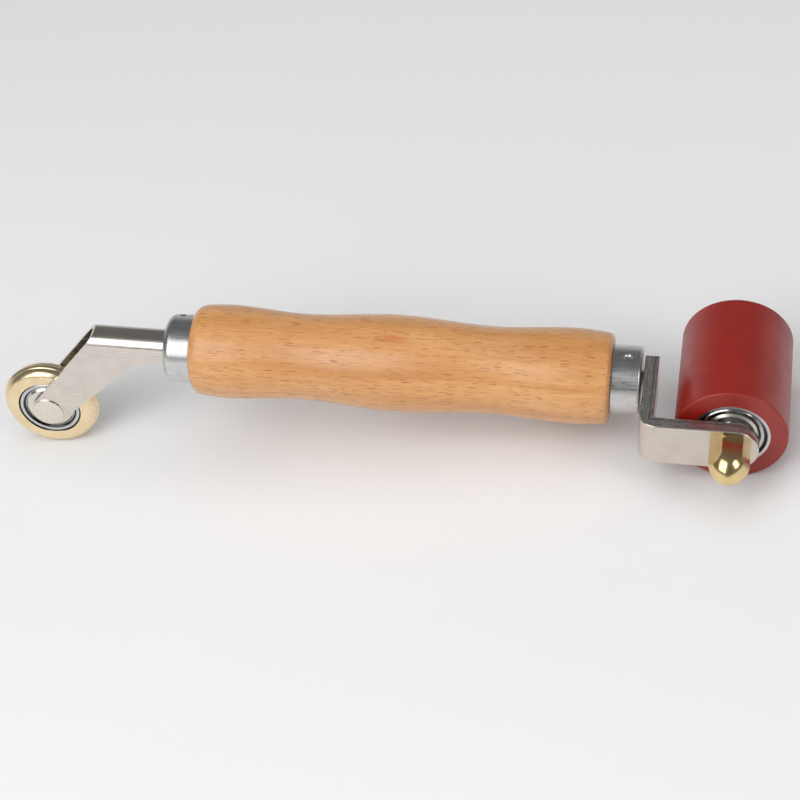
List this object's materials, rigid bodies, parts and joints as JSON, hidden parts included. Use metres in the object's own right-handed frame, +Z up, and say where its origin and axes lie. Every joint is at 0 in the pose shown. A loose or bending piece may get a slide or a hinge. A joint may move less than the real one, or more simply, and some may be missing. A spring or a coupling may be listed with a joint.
{
  "type": "double-ended hand seam roller",
  "caption": "Hand roller with a turned wooden grip, a wide soft silicone roller on a one-sided arm and a narrow hard wheel in a fork.",
  "frame": {"origin": "middle of the tool's bounding box in X and Y, on the surface that it stands on", "axes": "+X along the handle towards the soft roller, Y along both axles with the acorn nut towards -Y, +Z up"},
  "size_m": [0.2384, 0.0622, 0.0476],
  "materials": {
    "beech_wood": "turned beech under satin clear lacquer",
    "red_silicone": "solid silicone rubber, smooth, slightly glossy",
    "polished_brass": "turned and polished",
    "brushed_stainless": "satin, lightly tumbled",
    "ferrule_metal": "bright zinc-plated drawn steel",
    "plain_steel": "plain turned bar",
    "zinc_steel": "bright zinc plated",
    "core_aluminium": "turned",
    "bearing_steel": "ground and polished",
    "shield_steel": "bright pressed sheet"
  },
  "bodies": {
    "frame": {"wooden_handle": "beech_wood", "roller_ferrule": "ferrule_metal", "wheel_ferrule": "ferrule_metal", "arm_tang": "plain_steel", "fork_tang": "plain_steel", "roller_arm": "brushed_stainless", "wheel_fork": "brushed_stainless", "axle_bolt": "zinc_steel", "head_washer": "zinc_steel", "arm_spacer": "zinc_steel", "bearing_spacer": "plain_steel", "acorn_nut": "polished_brass", "wheel_pin": "brushed_stainless", "near_wheel_washer": "zinc_steel", "far_wheel_washer": "zinc_steel", "near_bearing_inner_race": "bearing_steel", "far_bearing_inner_race": "bearing_steel", "wheel_bearing_inner_race": "bearing_steel"},
    "soft_roller": {"silicone_sleeve": "red_silicone", "roller_core": "core_aluminium", "near_bearing_outer_race": "bearing_steel", "near_bearing_shields": "shield_steel", "far_bearing_outer_race": "bearing_steel", "far_bearing_shields": "shield_steel"},
    "near_ball_set": {"near_bearing_balls": "bearing_steel", "near_bearing_cage": "shield_steel"},
    "far_ball_set": {"far_bearing_balls": "bearing_steel", "far_bearing_cage": "shield_steel"},
    "hard_wheel": {"brass_wheel": "polished_brass", "wheel_bearing_outer_race": "bearing_steel", "wheel_bearing_shields": "shield_steel"},
    "wheel_ball_set": {"wheel_bearing_balls": "bearing_steel", "wheel_bearing_cage": "shield_steel"}
  },
  "joints": [
    {"name": "soft_roller_spin", "type": "hinge", "parent": "frame", "child": "soft_roller", "pos_m": [0.10317, 0.0069, 0.016], "axis": [0, 1, 0], "continuous": true},
    {"name": "near_ball_set_spin", "type": "hinge", "parent": "frame", "child": "near_ball_set", "pos_m": [0.10317, 0.0069, 0.016], "axis": [0, 1, 0], "continuous": true},
    {"name": "far_ball_set_spin", "type": "hinge", "parent": "frame", "child": "far_ball_set", "pos_m": [0.10317, 0.0069, 0.016], "axis": [0, 1, 0], "continuous": true},
    {"name": "hard_wheel_spin", "type": "hinge", "parent": "frame", "child": "hard_wheel", "pos_m": [-0.10447, 0.0069, 0.0147], "axis": [0, 1, 0], "continuous": true},
    {"name": "wheel_ball_set_spin", "type": "hinge", "parent": "frame", "child": "wheel_ball_set", "pos_m": [-0.10447, 0.0069, 0.0147], "axis": [0, 1, 0], "continuous": true}
  ],
  "couplings": [
    {"joint": "near_ball_set_spin", "follows": "soft_roller_spin", "ratio": 0.64344},
    {"joint": "far_ball_set_spin", "follows": "soft_roller_spin", "ratio": 0.64344},
    {"joint": "wheel_ball_set_spin", "follows": "hard_wheel_spin", "ratio": 0.64344}
  ]
}
